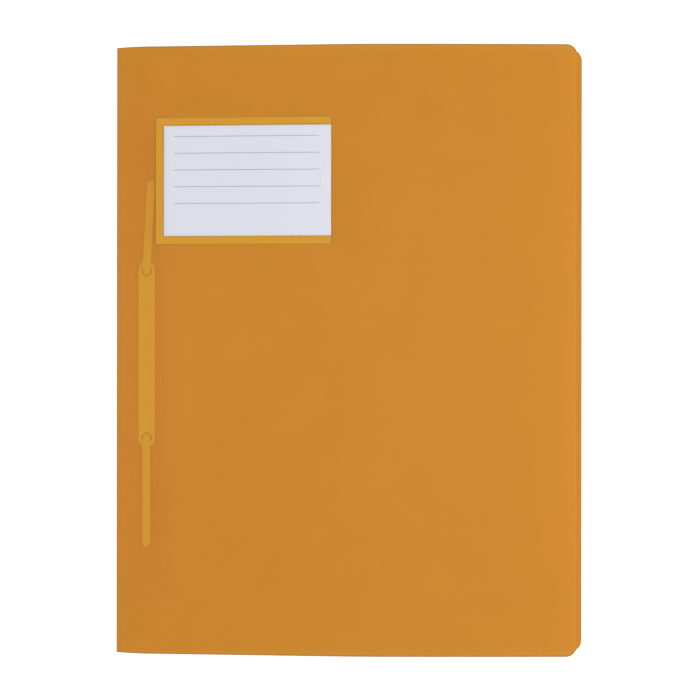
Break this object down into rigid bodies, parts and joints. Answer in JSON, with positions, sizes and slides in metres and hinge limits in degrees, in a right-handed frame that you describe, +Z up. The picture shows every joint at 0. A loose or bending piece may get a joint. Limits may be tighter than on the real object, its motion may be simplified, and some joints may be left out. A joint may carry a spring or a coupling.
{
  "type": "plastic fastener folder",
  "caption": "A4 report folder of translucent plastic with a creased spine, a two-tine fastener with a compressor bar inside, and a clear label pocket on the front cover.",
  "frame": {"origin": "under the middle of the closed folder, on the table that the back cover lies on", "axes": "+X from the spine to the free edge, +Y to the top of the page, +Z up out of the front cover"},
  "size_m": [0.239, 0.31, 0.0158],
  "materials": {
    "cover_sheet": "satin translucent polypropylene sheet, orange",
    "fastener_plastic": "satin moulded polypropylene, ivory white, seen through the orange sheet",
    "clear_film": "clear glossy film",
    "label_paper": "uncoated white card with printed rules"
  },
  "bodies": {
    "back": {"back_cover": "cover_sheet", "fastener_base": "fastener_plastic"},
    "spine": {"spine_panel": "cover_sheet"},
    "cover": {"front_cover": "cover_sheet", "pocket_film": "clear_film"},
    "card": {"label_card": "label_paper"},
    "bar": {"compressor_bar": "fastener_plastic"},
    "upper_tine": {"tine_upper": "fastener_plastic"},
    "lower_tine": {"tine_lower": "fastener_plastic"}
  },
  "joints": [
    {"name": "spine_fold", "type": "hinge", "parent": "back", "child": "spine", "pos_m": [-0.1195, 0, 0], "axis": [0, -1, 0], "range_deg": [0, 80]},
    {"name": "cover_fold", "type": "hinge", "parent": "spine", "child": "cover", "pos_m": [-0.1195, 0, 0.0034], "axis": [0, -1, 0], "range_deg": [0, 80]},
    {"name": "upper_tine_fold", "type": "hinge", "parent": "back", "child": "upper_tine", "pos_m": [-0.1044, 0.0405, 0.00285], "axis": [0.9986, -0.0523, 0], "range_deg": [0, 70]},
    {"name": "lower_tine_fold", "type": "hinge", "parent": "back", "child": "lower_tine", "pos_m": [-0.1044, -0.0449, 0.00285], "axis": [-1, 0, 0], "range_deg": [0, 70]},
    {"name": "bar_lift", "type": "slide", "parent": "back", "child": "bar", "axis": [0, 0, 1], "range_m": [0, 0.0005]},
    {"name": "card_slide", "type": "slide", "parent": "cover", "child": "card", "axis": [0.9974, 0, 0.0715], "range_m": [0, 0.09]}
  ],
  "couplings": [
    {"joint": "spine_fold", "follows": "cover_fold", "ratio": 1},
    {"joint": "upper_tine_fold", "follows": "cover_fold", "ratio": 0.875},
    {"joint": "lower_tine_fold", "follows": "cover_fold", "ratio": 0.875}
  ]
}
